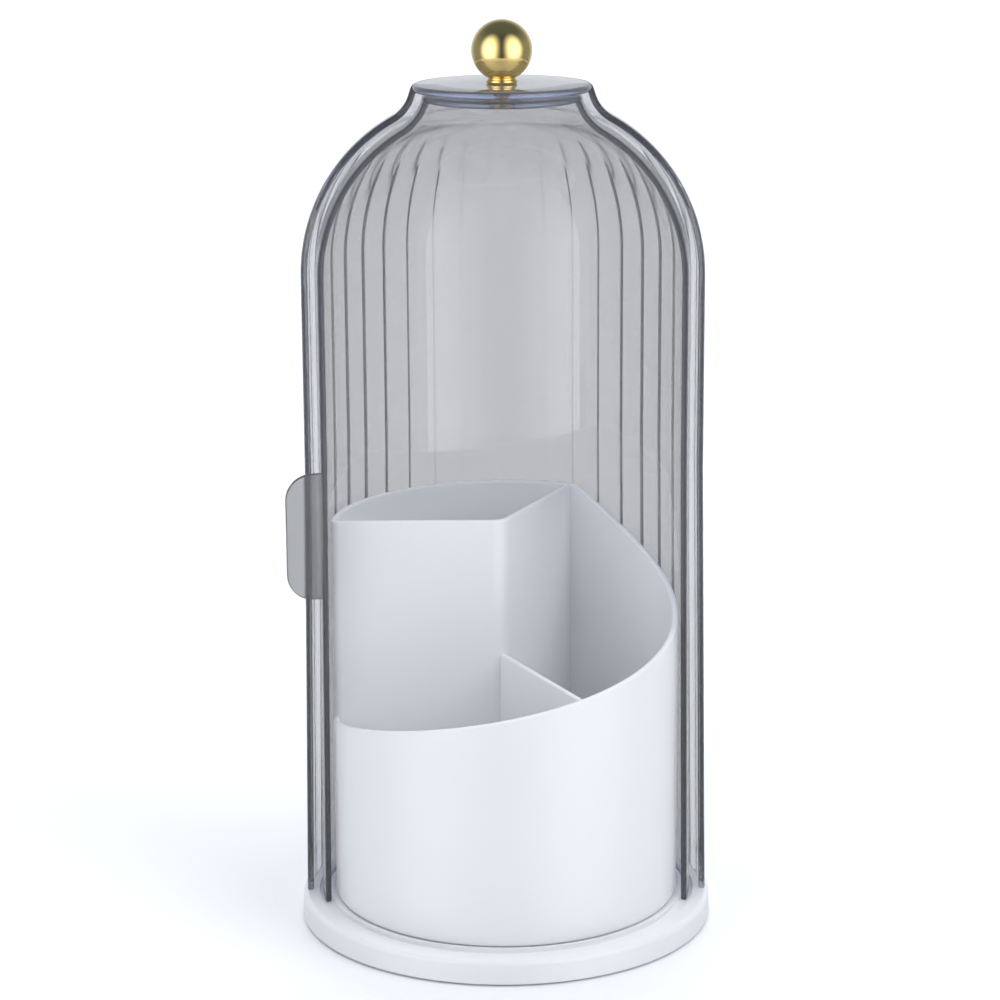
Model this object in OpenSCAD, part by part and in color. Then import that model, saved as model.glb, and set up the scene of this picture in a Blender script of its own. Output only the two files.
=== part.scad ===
// Rotating makeup organizer under a dustproof dome.
// A white tray carries a fixed rear shell and, inside it, a door shell of the same form that
// turns about the vertical axis to close the front. The shells are clear mouldings that curve in
// over a shoulder to a narrow neck and a round top disc, held together by a ball knob. The rear
// one is fluted, and the door is plain so that it slides round inside it.
// A white divided bucket stands on a ball-bearing turntable in the middle of the tray.
// Origin: centre of the footprint, on the table. +Z up, the open front faces -Y. Millimetres.

/* [Bucket] */
// Outer diameter of the bucket
bucket_d = 134; // [124:1:150]
// Thickness of the bucket's walls
bucket_wall = 2.2; // [1.6:0.1:3]
// Thickness of the bucket's floor
bucket_floor_t = 2.4; // [1.8:0.1:4]
// Height of the tall compartment, from the bucket's underside
tall_h = 147.7; // [130:0.1:170]
// Height of the lowest point of the sloping rim, from the bucket's underside
low_h = 68.7; // [50:0.1:90]
// Steady rise of the sloping rim along its whole run
rim_rise = 54; // [40:1:60]
// Direction of the tall compartment's right wall
tall_az = 65.4; // [50:0.1:90]
// Direction of the divider between the two open compartments
divider_az = -64; // [-90:1:-30]
// Radius of the tall compartment's inner corner, on its outer face
tall_corner_r = 8; // [4:0.5:12]
// Radius of the tall compartment's front corner, on its outer face
front_corner_r = 3.6; // [2.6:0.1:5]
// Chamfer round the bucket's foot
bucket_chamfer = 0.8; // [0.4:0.1:1.4]

/* [Turntable] */
// Gap between the bucket's underside and the tray's deck
bucket_lift = 0.3; // [0.2:0.05:1]
// Diameter of the turntable plate
turntable_d = 100; // [92:1:116]
// Thickness of the turntable plate
turntable_t = 2.5; // [2.2:0.1:3]
// Diameter of the turntable's stem
stem_d = 12; // [9:0.5:15]
// Diameter of the circle that the ball centres run on
race_d = 76; // [66:1:82]
// Diameter of a bearing ball
ball_d = 3.5; // [3:0.1:4]
// Number of bearing balls
ball_count = 12; // [6:1:20]
// Depth to which a ball sits in each race
race_sink = 0.35; // [0.2:0.05:0.5]
// Width of the ball cage's ring
cage_w = 7; // [6:0.5:9]
// Thickness of the ball cage
cage_t = 1.2; // [0.8:0.1:1.6]
// Diameter of the circle of the bucket's screws
bucket_screw_pcd = 48; // [36:1:54]
// Diameter of the pivot washer
pivot_washer_d = 20; // [17:0.5:22]
// Thickness of the pivot washer
pivot_washer_t = 0.8; // [0.5:0.1:1]

/* [Base tray] */
// Height of the tray's deck above the table
base_h = 10; // [9.6:0.1:14]
// Thickness of the tray's deck
deck_t = 2.4; // [2:0.1:3]
// Thickness of the tray's outer wall
base_wall = 2.4; // [1.8:0.1:2.8]
// Thickness of the floor of the tray's well
well_floor_t = 1.8; // [1.4:0.1:2]
// Width of the deck under the bucket's edge
well_overlap = 3; // [2:0.5:6]
// Radius of the tray's top edge
base_round = 2; // [1:0.1:2.2]
// Width of the deck outside the rear shell
base_lip = 1.6; // [1.2:0.1:5]
// Depth of the door's track
track_depth = 1.2; // [0.8:0.1:1.3]
// Width of the rail on the inner side of the track
rail_w = 1.2; // [0.8:0.1:1.6]
// Height of the rail above the deck
rail_h = 0.5; // [0.3:0.1:1]
// Thickness of the ribs under the tray
rib_t = 1.6; // [1.2:0.1:2.4]

/* [Feet] */
// Diameter of a rubber foot
foot_d = 13; // [10:0.5:14]
// Thickness of a rubber foot
foot_t = 2; // [1.6:0.1:2.6]
// Height of a foot below the tray
foot_proud = 0.8; // [0.6:0.1:1.2]
// Diameter of the circle of the feet
foot_pcd = 136; // [124:1:138]

/* [Shells] */
// Gap between the bucket and the door, at the door's foot
door_run = 3.2; // [2.8:0.1:5]
// Thickness of the door shell
door_wall = 2.2; // [1.6:0.1:2.6]
// Gap between the two shells, at their foot
shell_run = 3.6; // [3.4:0.1:5]
// Gap between the two shells, at the shoulder and the neck
shoulder_run = 2.8; // [2.4:0.1:3.4]
// Thickness of the rear shell
shell_wall = 2.4; // [1.8:0.1:3]
// Amount that the rear shell narrows from its foot to its upright wall
shell_taper = 2.4; // [1.6:0.1:3]
// Height above the deck at which the upright wall begins
knee_h = 170; // [120:1:210]
// Height above the deck at which the upright wall ends
straight_h = 244.4; // [220:0.1:270]
// Radius of the circle that the shoulder's centre follows
shoulder_in = 8.5; // [0:0.5:14]
// Angle of the shoulder's arc
shoulder_angle = 61; // [58:0.5:64]
// Radius of the concave neck
neck_r = 13.5; // [11:0.5:16]
// Angle of the neck's straight flank
neck_angle = 71; // [66:1:78]
// Length of height from the neck's arc to the top disc's upper face
neck_rise = 4.5; // [3.6:0.1:6]
// Thickness of the two top discs
disc_t = 2.8; // [2:0.1:3.2]
// Radius of the top discs' rounded edges
disc_round = 0.9; // [0.4:0.1:1]
// Gap between the two top discs
disc_gap = 1; // [0.8:0.1:1.4]
// Span of the rear shell
shell_span = 190; // [184:1:196]
// Span of the door shell
door_span = 208; // [200:1:214]

/* [Flutes] */
// Number of the rear shell's flutes, in a full circle
flute_count = 40; // [24:1:48]
// Width of the groove between two flutes, on the straight wall
flute_w = 1.8; // [1.2:0.1:2.6]
// Depth of the groove between two flutes
flute_depth = 0.6; // [0.3:0.1:0.9]
// Angle up the shoulder at which the grooves begin to run out
flute_end = 39; // [30:1:44]

/* [Door tab] */
// Height of the door's finger tab
tab_h = 49; // [36:1:70]
// Distance that the tab stands out from the door
tab_out = 13.7; // [12:0.1:20]
// Thickness of the tab
tab_t = 2; // [1.6:0.1:3]
// Height of the tab's centre above the table
tab_z = 156.4; // [120:0.1:190]
// Radius of the tab's outer corners
tab_round = 10; // [5:0.5:12]

/* [Knob] */
// Diameter of the knob's ball
knob_d = 22.7; // [18:0.1:28]
// Diameter of the round ring at the collar's foot
collar_d = 11.8; // [11:0.1:14]
// Diameter of the collar's neck and of the flat under the ball
collar_neck_d = 10.4; // [9.4:0.1:10.8]
// Height of the collar
collar_h = 2.1; // [1.8:0.1:5]
// Diameter of the knob's screw
knob_screw_d = 4; // [3:0.1:4.4]
// Length of the knob's screw that is inside the ball
knob_grip = 8; // [6:0.5:10]
// Wall of the bush that the door turns on
bush_wall = 1.35; // [1:0.05:2]
// Diameter of the washer under the door's disc
knob_washer_d = 16; // [12:0.5:20]
// Thickness of the washer under the door's disc
knob_washer_t = 0.9; // [0.6:0.1:1.4]
// Diameter of the slip washer between the discs
slip_washer_d = 18; // [14:0.5:24]

/* [Hidden] */
$fn = 96;

// clearances
overlap = 0.5;        // how far joined pieces of one moulding reach into each other
turn_gap = 0.05;      // round running fits
screw_gap = 0.05;     // screw in its own hole
hole_gap = 0.15;      // screw or lug through a clearance hole
ride_gap = 0.3;       // under the door's foot and under its disc
washer_gap = 0.2;     // pivot washer under the well's floor
pocket_gap = 0.2;     // ball in the cage's pocket
race_gap = 0.15;      // ball in its race
eps = 1;              // overshoot of a cutting body

// radii, from the bucket outwards
bucket_r = bucket_d / 2;
door_foot_r = bucket_r + door_run + door_wall;
shell_foot_r = door_foot_r + shell_run + shell_wall;
base_r = shell_foot_r + base_lip;
shell_top_r = shell_foot_r - shell_taper;
shoulder_r = shell_top_r - shoulder_in;
door_inset = shell_wall + shoulder_run;
door_top_r = shell_top_r - door_inset;
track_r0 = bucket_r + door_run - 1;
track_r1 = door_foot_r + 1.2;
well_r = bucket_r - well_overlap;

// heights, from the deck down
bucket_z = base_h + bucket_lift;
turntable_z = bucket_z - turntable_t;
ball_z = turntable_z + race_sink - ball_d / 2;
well_z = ball_z + race_sink - ball_d / 2;
well_under_z = well_z - well_floor_t;
stem_end_z = well_under_z - washer_gap;
deck_under_z = base_h - deck_t;
track_z = base_h - track_depth;
door_foot_z = track_z + ride_gap;

// heights, from the deck up
knee_z = base_h + knee_h;
spring_z = base_h + straight_h;
shoulder_c = [shoulder_in, spring_z];
neck_c = shoulder_c + (shoulder_r + neck_r) * [cos(shoulder_angle), sin(shoulder_angle)];
disc_top_z = neck_c.y - neck_r * cos(neck_angle) + neck_rise;
disc_under_z = disc_top_z - disc_t;
door_top_z = disc_under_z - disc_gap;
door_disc_under_z = door_top_z - disc_t;
bush_r = knob_screw_d / 2 + hole_gap + bush_wall;
bush_end_z = door_disc_under_z - ride_gap;
knob_washer_z = bush_end_z - knob_washer_t;
collar_z = disc_top_z;
ball_flat_z = collar_z + collar_h;
knob_r = knob_d / 2;
knob_flat_r = collar_neck_d / 2;
knob_c_z = ball_flat_z + sqrt(knob_r * knob_r - knob_flat_r * knob_flat_r);

// directions
shell_az = 90 - shell_span / 2;
door_az = 90 - door_span / 2;
tab_az = door_az + door_span;
flute_step = 360 / flute_count;
flute_margin = 2;
rim_start = -180;
rim_steps = 49;
rim_power = 6;
rim_over = 1.5;
rim_lead = 0.2;
arc_step = 10;
rim_end_rise = tall_h + rim_over - low_h - rim_rise;
divider_drop = 0.5;
divider_h = rim_height(divider_az) - divider_drop;
corner_half = (180 - tall_az) / 2;
corner_c = tall_corner_r / sin(corner_half) * [cos(tall_az + corner_half), sin(tall_az + corner_half)];
divider_root = norm(corner_c) - tall_corner_r + bucket_wall / 2;
front_c = [-sqrt(pow(bucket_r - front_corner_r, 2) - pow(front_corner_r, 2)), front_corner_r];

// snap lugs of the rear shell
lug_azs = [30, 90, 150];
lug_half = 6;
lug_t = 1.6;
lug_overlap = 0.8;
lug_r1 = shell_foot_r - shell_wall + lug_overlap;
lug_r0 = lug_r1 - lug_t;
lug_rise = 2;
lug_hook = 1;
lug_hook_h = 1.4;
lug_slot_turn = 0.4;

// screws
pan_head_h = 1.25;
pivot_screw_r = 1.6;
pivot_head_r = 3.2;
pivot_grip = 6;
knob_head_r = 3.6;
knob_head_h = 1.8;
bucket_screw_r = 1.25;
bucket_head_r = 2.6;
bucket_head_h = 1.1;
bucket_head_sink = 0.1;
bucket_grip = 3;
bucket_screw_azs = [90, 210, 330];

// small features
boss_wall = 4.5;
well_wall = 2;
rib_clear = 1;
foot_chamfer = 0.4;
boss_rise = 1.6;
pad_wall = 1.5;
screw_boss_wall = 2;
screw_boss_h = 2;
collar_ring_r = 0.8;
foot_gap = 0.15;
foot_azs = [225, 315, 135, 45];
rib_count = 6;

white = [0.93, 0.94, 0.95];
clear = [0.68, 0.70, 0.73, 0.4];
gold = [0.83, 0.64, 0.33];
steel = [0.72, 0.73, 0.75];
rubber = [0.62, 0.63, 0.65];
acetal = [0.90, 0.89, 0.85];

// ---- shells ----

// Area inside a shell's surface that lies inset below the rear shell's outer face, from its
// foot at foot_r, foot_z up to top_z.
module dome_area(inset, foot_r, foot_z, top_z) {
    arc_r = shoulder_r - inset;
    bend = shoulder_c + arc_r * [cos(shoulder_angle), sin(shoulder_angle)];
    flank = neck_c - (neck_r + inset) * [sin(neck_angle), cos(neck_angle)];
    top_r = flank.x - (top_z - flank.y) / tan(neck_angle);
    wall_r = shoulder_in + arc_r;
    polygon([[0, foot_z], [foot_r, foot_z], [wall_r, knee_z], [wall_r, spring_z], [0, spring_z]]);
    intersection() {
        translate(shoulder_c) circle(arc_r);
        translate([0, knee_z]) square([wall_r + eps, bend.y - knee_z + overlap]);
    }
    difference() {
        polygon([[0, bend.y], bend, flank, [top_r, top_z], [0, top_z]]);
        translate(neck_c) circle(neck_r + inset);
    }
}

// Section of a shell's wall and half its disc
module shell_section(inset, wall, foot_r, foot_z, top_z) {
    difference() {
        dome_area(inset, foot_r, foot_z, top_z);
        dome_area(inset + wall, foot_r - wall, foot_z - eps, top_z - disc_t);
    }
}

// Section of one groove between the rear shell's flutes. It follows the wall and the shoulder,
// then leaves the shoulder on a straight line, so that the groove fades out below the neck.
module groove_section() {
    arc_r = shoulder_r - flute_depth;
    foot_r = shell_foot_r - flute_depth;
    wall_r = shell_top_r - flute_depth;
    over = 3;
    slope = (foot_r - wall_r) / (knee_z - base_h);
    polygon([[foot_r + slope * eps, base_h - eps], [foot_r + over, base_h - eps],
             [foot_r + over, spring_z], [wall_r, spring_z], [wall_r, knee_z]]);
    difference() {
        translate(shoulder_c) polygon([
            [0, 0], [arc_r + over, 0],
            (arc_r + over) * [1, tan(flute_end / 2)],
            (arc_r + over) * [cos(flute_end), sin(flute_end)]]);
        translate(shoulder_c) circle(arc_r);
    }
    translate(shoulder_c) rotate(flute_end) translate([arc_r, 0])
        square([over, arc_r * sqrt(pow(1 + flute_depth / arc_r, 2) - 1) + overlap]);
}

// Round top disc with rounded edges
module top_disc(edge_r, top_z) {
    flat_r = edge_r - disc_round;
    rotate_extrude() {
        translate([0, top_z - disc_t]) square([flat_r, disc_t]);
        translate([0, top_z - disc_t + disc_round]) square([edge_r, disc_t - 2 * disc_round]);
        for (z = [top_z - disc_t + disc_round, top_z - disc_round])
            translate([flat_r, z]) circle(disc_round);
    }
}

// Shell of a part turn, with its whole top disc
module plain_shell(inset, wall, foot_r, foot_z, top_z, start, span) {
    flank = neck_c - (neck_r + inset) * [sin(neck_angle), cos(neck_angle)];
    rotate([0, 0, start]) rotate_extrude(angle = span) shell_section(inset, wall, foot_r, foot_z, top_z);
    top_disc(flank.x - (top_z - flank.y) / tan(neck_angle), top_z);
}

// Grooves between the rear shell's flutes, clear of its two upright edges
module grooves() {
    first = ceil((shell_az + flute_margin) / flute_step - 0.5);
    last = floor((shell_az + shell_span - flute_margin) / flute_step - 0.5);
    groove_turn = flute_w / shell_top_r * 180 / PI;
    for (i = [first:last]) rotate([0, 0, (i + 0.5) * flute_step - groove_turn / 2])
        rotate_extrude(angle = groove_turn) groove_section();
}

// Lug under the rear shell's foot, with a hook that snaps under the deck
module snap_lug() {
    hook_z = deck_under_z - washer_gap;
    rotate([0, 0, -lug_half]) rotate_extrude(angle = 2 * lug_half)
        polygon([
            [lug_r0, base_h + lug_rise], [lug_r1, base_h + lug_rise],
            [lug_r1, hook_z - lug_hook_h], [lug_r0, hook_z - lug_hook_h],
            [lug_r0 - lug_hook, hook_z], [lug_r0, hook_z]]);
}

module rear_shell() {
    color(clear) difference() {
        union() {
            plain_shell(0, shell_wall, shell_foot_r, base_h, disc_top_z, shell_az, shell_span);
            for (a = lug_azs) rotate([0, 0, a]) snap_lug();
        }
        grooves();
        translate([0, 0, disc_under_z - eps])
            cylinder(r = knob_screw_d / 2 + hole_gap, h = disc_t + 2 * eps);
    }
}

// Flat finger tab on the door's leading edge, with round outer corners
module finger_tab() {
    below_knee = max(0, knee_z - tab_z) / (knee_z - door_foot_z);
    wall_r = door_top_r + (door_foot_r - door_top_r) * below_knee;
    inner_r = wall_r - door_wall / 2;
    outer_r = wall_r + tab_out;
    rotate([0, 0, tab_az]) translate([0, 0, tab_z]) rotate([90, 0, 0]) linear_extrude(tab_t)
        intersection() {
            union() {
                translate([inner_r, -tab_h / 2]) square([outer_r - tab_round - inner_r, tab_h]);
                translate([inner_r, tab_round - tab_h / 2])
                    square([outer_r - inner_r, tab_h - 2 * tab_round]);
                for (s = [-1, 1]) translate([outer_r - tab_round, s * (tab_h / 2 - tab_round)])
                    circle(tab_round);
            }
            translate([inner_r, -tab_h]) square([outer_r, 2 * tab_h]);
        }
}

module door_shell() {
    color(clear) difference() {
        union() {
            plain_shell(door_inset, door_wall, door_foot_r, door_foot_z, door_top_z, door_az, door_span);
            finger_tab();
        }
        translate([0, 0, door_disc_under_z - eps])
            cylinder(r = bush_r + turn_gap, h = disc_t + 2 * eps);
    }
}

// ---- knob ----

module knob_ball() {
    color(gold) difference() {
        translate([0, 0, knob_c_z]) sphere(knob_r);
        translate([0, 0, ball_flat_z - knob_r]) cube([knob_d, knob_d, knob_d], center = true);
        translate([0, 0, ball_flat_z - eps])
            cylinder(r = knob_screw_d / 2 + screw_gap, h = knob_grip + screw_gap + eps);
    }
}

module knob_collar() {
    color(gold) rotate_extrude() {
        translate([knob_screw_d / 2 + hole_gap, collar_z])
            square([knob_flat_r - knob_screw_d / 2 - hole_gap, collar_h]);
        translate([collar_d / 2 - collar_ring_r, collar_z + collar_ring_r]) circle(collar_ring_r);
    }
}

module knob_bush() {
    color(gold) translate([0, 0, bush_end_z]) difference() {
        cylinder(r = bush_r, h = disc_under_z - bush_end_z);
        translate([0, 0, -eps])
            cylinder(r = knob_screw_d / 2 + hole_gap, h = disc_under_z - bush_end_z + 2 * eps);
    }
}

module slip_washer() {
    z = door_top_z + turn_gap;
    color(acetal) translate([0, 0, z]) difference() {
        cylinder(d = slip_washer_d, h = disc_under_z - z);
        translate([0, 0, -eps]) cylinder(r = bush_r + turn_gap, h = disc_gap + 2 * eps);
    }
}

module knob_washer() {
    color(gold) translate([0, 0, knob_washer_z]) difference() {
        cylinder(d = knob_washer_d, h = knob_washer_t);
        translate([0, 0, -eps]) cylinder(r = knob_screw_d / 2 + hole_gap, h = knob_washer_t + 2 * eps);
    }
}

// Cross-recessed pan head, hanging below z = 0, with its shank above
module pan_screw(head_r, head_h, shank_r, shank_h) {
    slot_w = head_r / 3;
    difference() {
        union() {
            rotate_extrude() intersection() {
                translate([0, head_r * 1.6 - head_h]) circle(head_r * 1.6);
                translate([0, -head_h]) square([head_r, head_h]);
            }
            translate([0, 0, -head_h / 4]) cylinder(r = shank_r, h = shank_h + head_h / 4);
        }
        for (a = [0, 90]) rotate([0, 0, a]) translate([0, 0, -head_h])
            cube([head_r * 1.2, slot_w, head_h], center = true);
    }
}

module knob_screw() {
    color(gold) translate([0, 0, knob_washer_z])
        pan_screw(knob_head_r, knob_head_h, knob_screw_d / 2, ball_flat_z + knob_grip - knob_washer_z);
}

// ---- bucket ----

// Height of the sloping rim above the bucket's underside, at direction az
function rim_height(az) =
    let (t = max(0, (az - rim_start) / (tall_az - rim_start)))
    low_h + rim_rise * t + rim_end_rise * pow(t, rim_power);

// Points of an arc in steps of arc_step or less
function arc(c, r, a0, a1) =
    let (n = ceil(abs(a1 - a0) / arc_step))
    [for (i = [0:n]) c + r * [cos(a0 + (a1 - a0) * i / n), sin(a0 + (a1 - a0) * i / n)]];

// Plan of the sector that the tall compartment takes, inset by e, with its rounded inner corner.
// It runs out past the round wall.
module tall_sector(e) {
    far = 2 * bucket_r;
    polygon(concat(
        [[-far, e]],
        arc(corner_c, tall_corner_r - e, -90, tall_az - 90),
        [e * [-sin(tall_az), cos(tall_az)] + far * [cos(tall_az), sin(tall_az)], [-far, far]]));
}

// Plan of what the rounded front corner takes off the tall compartment
module front_corner_plan() {
    lead = 12;
    a0 = 270 - lead;
    a1 = atan2(front_c.y, front_c.x) + lead;
    over = 2 * front_corner_r;
    rounding = arc(front_c, front_corner_r, a0, a1);
    polygon(concat(
        [rounding[0] + over * [-sin(a0), cos(a0)]],
        rounding,
        [rounding[len(rounding) - 1] + over * [sin(a1), -cos(a1)],
         [-bucket_r - over, over], [-bucket_r - over, -over]]));
}

// Body that cuts the round wall down to the sloping rim
module rim_cutter() {
    in_r = bucket_r - bucket_wall - rim_lead;
    out_r = bucket_r + eps;
    high = tall_h + rim_over + eps;
    points = [for (i = [0:rim_steps])
        let (az = rim_start - rim_lead + i * (tall_az - rim_start + rim_lead) / rim_steps,
             z = rim_height(az))
        each [[in_r * cos(az), in_r * sin(az), z], [out_r * cos(az), out_r * sin(az), z],
              [out_r * cos(az), out_r * sin(az), high], [in_r * cos(az), in_r * sin(az), high]]];
    sides = [for (i = [0:rim_steps - 1], k = [0:3])
        [4 * i + k, 4 * i + (k + 1) % 4, 4 * i + 4 + (k + 1) % 4, 4 * i + 4 + k]];
    n = 4 * rim_steps;
    polyhedron(points, concat([[3, 2, 1, 0]], sides, [[n, n + 1, n + 2, n + 3]]));
}

// Round holes or bosses on the circle of the bucket's screws
module at_bucket_screws(r, z, h) {
    for (a = bucket_screw_azs) rotate([0, 0, a]) translate([bucket_screw_pcd / 2, 0, z])
        cylinder(r = r, h = h);
}

module organizer_bucket() {
    color(white) translate([0, 0, bucket_z]) difference() {
        union() {
            difference() {
                cylinder(r = bucket_r, h = tall_h);
                translate([0, 0, bucket_floor_t]) linear_extrude(tall_h) intersection() {
                    circle(bucket_r - bucket_wall);
                    tall_sector(bucket_wall);
                }
                translate([0, 0, bucket_floor_t]) linear_extrude(tall_h) difference() {
                    circle(bucket_r - bucket_wall);
                    tall_sector(0);
                }
                rim_cutter();
                translate([0, 0, low_h]) linear_extrude(tall_h) front_corner_plan();
            }
            rotate([0, 0, divider_az]) translate([-divider_root, -bucket_wall / 2, bucket_floor_t / 2])
                cube([divider_root + bucket_r - bucket_wall / 2, bucket_wall,
                      divider_h - bucket_floor_t / 2]);
            at_bucket_screws(bucket_screw_r + screw_boss_wall, bucket_floor_t / 2,
                             bucket_floor_t / 2 + screw_boss_h);
        }
        rotate_extrude() polygon([
            [bucket_r - bucket_chamfer - eps, -eps], [bucket_r + eps, -eps],
            [bucket_r + eps, bucket_chamfer + eps]]);
        at_bucket_screws(bucket_screw_r + screw_gap, -eps, eps + bucket_grip + screw_gap);
    }
}

// ---- turntable ----

// Ring groove that the balls run in
module race_groove() {
    translate([0, 0, ball_z]) rotate_extrude() translate([race_d / 2, 0]) circle(ball_d / 2 + race_gap);
}

module turntable_disc() {
    head_z = turntable_z + bucket_head_h + bucket_head_sink;
    color(white) difference() {
        union() {
            translate([0, 0, turntable_z]) cylinder(d = turntable_d, h = turntable_t);
            translate([0, 0, stem_end_z]) cylinder(d = stem_d, h = turntable_z - stem_end_z + overlap);
        }
        race_groove();
        translate([0, 0, stem_end_z - eps]) cylinder(r = pivot_screw_r + screw_gap, h = pivot_grip + eps);
        at_bucket_screws(bucket_screw_r + hole_gap, turntable_z - eps, turntable_t + 2 * eps);
        at_bucket_screws(bucket_head_r + hole_gap, turntable_z - eps, head_z - turntable_z + eps);
    }
}

module bucket_screws() {
    head_z = turntable_z + bucket_head_h + bucket_head_sink;
    color(steel) for (a = bucket_screw_azs) rotate([0, 0, a]) translate([bucket_screw_pcd / 2, 0, head_z])
        pan_screw(bucket_head_r, bucket_head_h, bucket_screw_r, bucket_z + bucket_grip - head_z);
}

module pivot_washer() {
    color(steel) translate([0, 0, stem_end_z - pivot_washer_t]) difference() {
        cylinder(d = pivot_washer_d, h = pivot_washer_t);
        translate([0, 0, -eps]) cylinder(r = pivot_screw_r + hole_gap, h = pivot_washer_t + 2 * eps);
    }
}

module pivot_screw() {
    color(steel) translate([0, 0, stem_end_z - pivot_washer_t])
        pan_screw(pivot_head_r, pan_head_h, pivot_screw_r, pivot_washer_t + pivot_grip - screw_gap);
}

module ball_cage() {
    color(acetal) translate([0, 0, ball_z - cage_t / 2]) difference() {
        cylinder(d = race_d + cage_w, h = cage_t);
        translate([0, 0, -eps]) cylinder(d = race_d - cage_w, h = cage_t + 2 * eps);
        for (i = [0:ball_count - 1]) rotate([0, 0, i * 360 / ball_count])
            translate([race_d / 2, 0, -eps]) cylinder(r = ball_d / 2 + pocket_gap, h = cage_t + 2 * eps);
    }
}

module bearing_balls() {
    color(steel) for (i = [0:ball_count - 1]) rotate([0, 0, i * 360 / ball_count])
        translate([race_d / 2, 0, ball_z]) sphere(d = ball_d);
}

// ---- base tray ----

// Flat ring between two radii, or a piece of one turned about az by half each way
module ring(r0, r1, z0, z1, az = 0, half = 180) {
    rotate([0, 0, az - half]) rotate_extrude(angle = 2 * half)
        translate([r0, z0]) square([r1 - r0, z1 - z0]);
}

// Section of the tray: deck with a rounded edge, outer wall, well, pivot boss and track rail
module tray_section() {
    bore_r = stem_d / 2 + turn_gap;
    round_r = base_r - base_round;
    translate([well_r, deck_under_z]) square([round_r - well_r, deck_t]);
    translate([base_r - base_wall, foot_proud]) square([base_wall, base_h - base_round - foot_proud]);
    intersection() {
        translate([round_r, base_h - base_round]) circle(base_round);
        translate([round_r, base_h - base_round]) square(base_round);
    }
    translate([well_r, well_under_z]) square([well_wall, base_h - well_under_z]);
    translate([bore_r, well_under_z]) square([well_r - bore_r + well_wall / 2, well_floor_t]);
    translate([bore_r, well_under_z]) square([boss_wall, well_floor_t + boss_rise]);
    translate([track_r0 - rail_w, base_h - deck_t / 2]) square([rail_w, deck_t / 2 + rail_h]);
}

// Stiffening ribs under the well's floor, under the deck and under the ball race
module tray_ribs() {
    rib_z = foot_proud + rib_clear;
    hub_r = pivot_washer_d / 2 + rib_clear;
    for (i = [0:rib_count - 1]) rotate([0, 0, i * 360 / rib_count]) {
        translate([hub_r, -rib_t / 2, rib_z]) cube([well_r - hub_r, rib_t, well_under_z - rib_z + overlap]);
        translate([well_r, -rib_t / 2, rib_z])
            cube([base_r - base_wall / 2 - well_r, rib_t, deck_under_z - rib_z + overlap]);
    }
    ring(race_d / 2 - rib_t / 2, race_d / 2 + rib_t / 2, rib_z, well_under_z + overlap);
    ring(hub_r, hub_r + rib_t, rib_z, well_under_z + overlap);
}

// Round bodies on the circle of the feet
module at_feet(r, z, h) {
    for (a = foot_azs) rotate([0, 0, a]) translate([foot_pcd / 2, 0, z]) cylinder(r = r, h = h);
}

module base_tray() {
    foot_seat_r = foot_d / 2 + foot_gap;
    color(white) difference() {
        union() {
            rotate_extrude() tray_section();
            tray_ribs();
            at_feet(foot_seat_r + pad_wall, foot_proud, deck_under_z - foot_proud + overlap);
        }
        ring(track_r0, track_r1, track_z, base_h + eps);
        race_groove();
        for (a = lug_azs) ring(lug_r0 - hole_gap, lug_r1 + hole_gap, deck_under_z - eps, base_h + eps,
                               a, lug_half + lug_slot_turn);
        at_feet(foot_seat_r, foot_proud - eps, foot_t - foot_proud + eps);
    }
}

// Rubber foot number i, a disc with a chamfered tread
module foot(i) {
    r = foot_d / 2;
    color(rubber) rotate([0, 0, foot_azs[i]]) translate([foot_pcd / 2, 0, 0])
        rotate_extrude()
            polygon([[0, 0], [r - foot_chamfer, 0], [r, foot_chamfer], [r, foot_t], [0, foot_t]]);
}

module foot_front_left() { foot(0); }
module foot_front_right() { foot(1); }
module foot_rear_left() { foot(2); }
module foot_rear_right() { foot(3); }

base_tray();
foot_front_left();
foot_front_right();
foot_rear_left();
foot_rear_right();
rear_shell();
knob_ball();
knob_collar();
knob_bush();
knob_screw();
knob_washer();
slip_washer();
door_shell();
organizer_bucket();
turntable_disc();
bucket_screws();
pivot_washer();
pivot_screw();
ball_cage();
bearing_balls();
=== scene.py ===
import math

import bmesh
import bpy
from mathutils import Matrix, Vector


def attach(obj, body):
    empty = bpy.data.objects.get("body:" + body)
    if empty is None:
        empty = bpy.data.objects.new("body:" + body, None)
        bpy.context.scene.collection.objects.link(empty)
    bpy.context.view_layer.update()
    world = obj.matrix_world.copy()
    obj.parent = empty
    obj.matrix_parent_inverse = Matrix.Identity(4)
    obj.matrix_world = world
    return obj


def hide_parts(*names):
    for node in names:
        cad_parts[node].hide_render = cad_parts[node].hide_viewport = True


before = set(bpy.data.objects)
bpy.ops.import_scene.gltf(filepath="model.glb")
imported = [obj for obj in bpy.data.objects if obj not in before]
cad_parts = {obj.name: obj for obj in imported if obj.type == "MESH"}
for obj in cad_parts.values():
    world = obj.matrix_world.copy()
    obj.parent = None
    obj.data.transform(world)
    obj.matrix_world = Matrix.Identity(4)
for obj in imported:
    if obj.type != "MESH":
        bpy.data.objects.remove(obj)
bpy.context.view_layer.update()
MM = 0.001

# ---------------------------------------------------------------------------------------------
# Studio: a camera a little over a metre away, looking slightly down, a plain pale floor and soft
# lights. Two soft boxes stand left and right, weak ones are above and in front, and a large one
# hangs over the floor behind, so that clear plastic is seen on a bright ground.

camera_data = bpy.data.cameras.new("studio_camera")
camera_data.lens = 107.35
camera_data.sensor_width = 36
camera_data.shift_x = -0.0041
camera = bpy.data.objects.new("studio_camera", camera_data)
camera.location = (0, -1.1101, 0.4408)
tilt = Matrix.Rotation(math.radians(76.104), 4, "X")
roll = Matrix.Rotation(math.radians(-0.31), 4, "Z")
camera.rotation_euler = (tilt @ roll).to_euler()
bpy.context.scene.collection.objects.link(camera)
bpy.context.scene.camera = camera
bpy.context.scene.view_settings.view_transform = "Standard"


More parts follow.
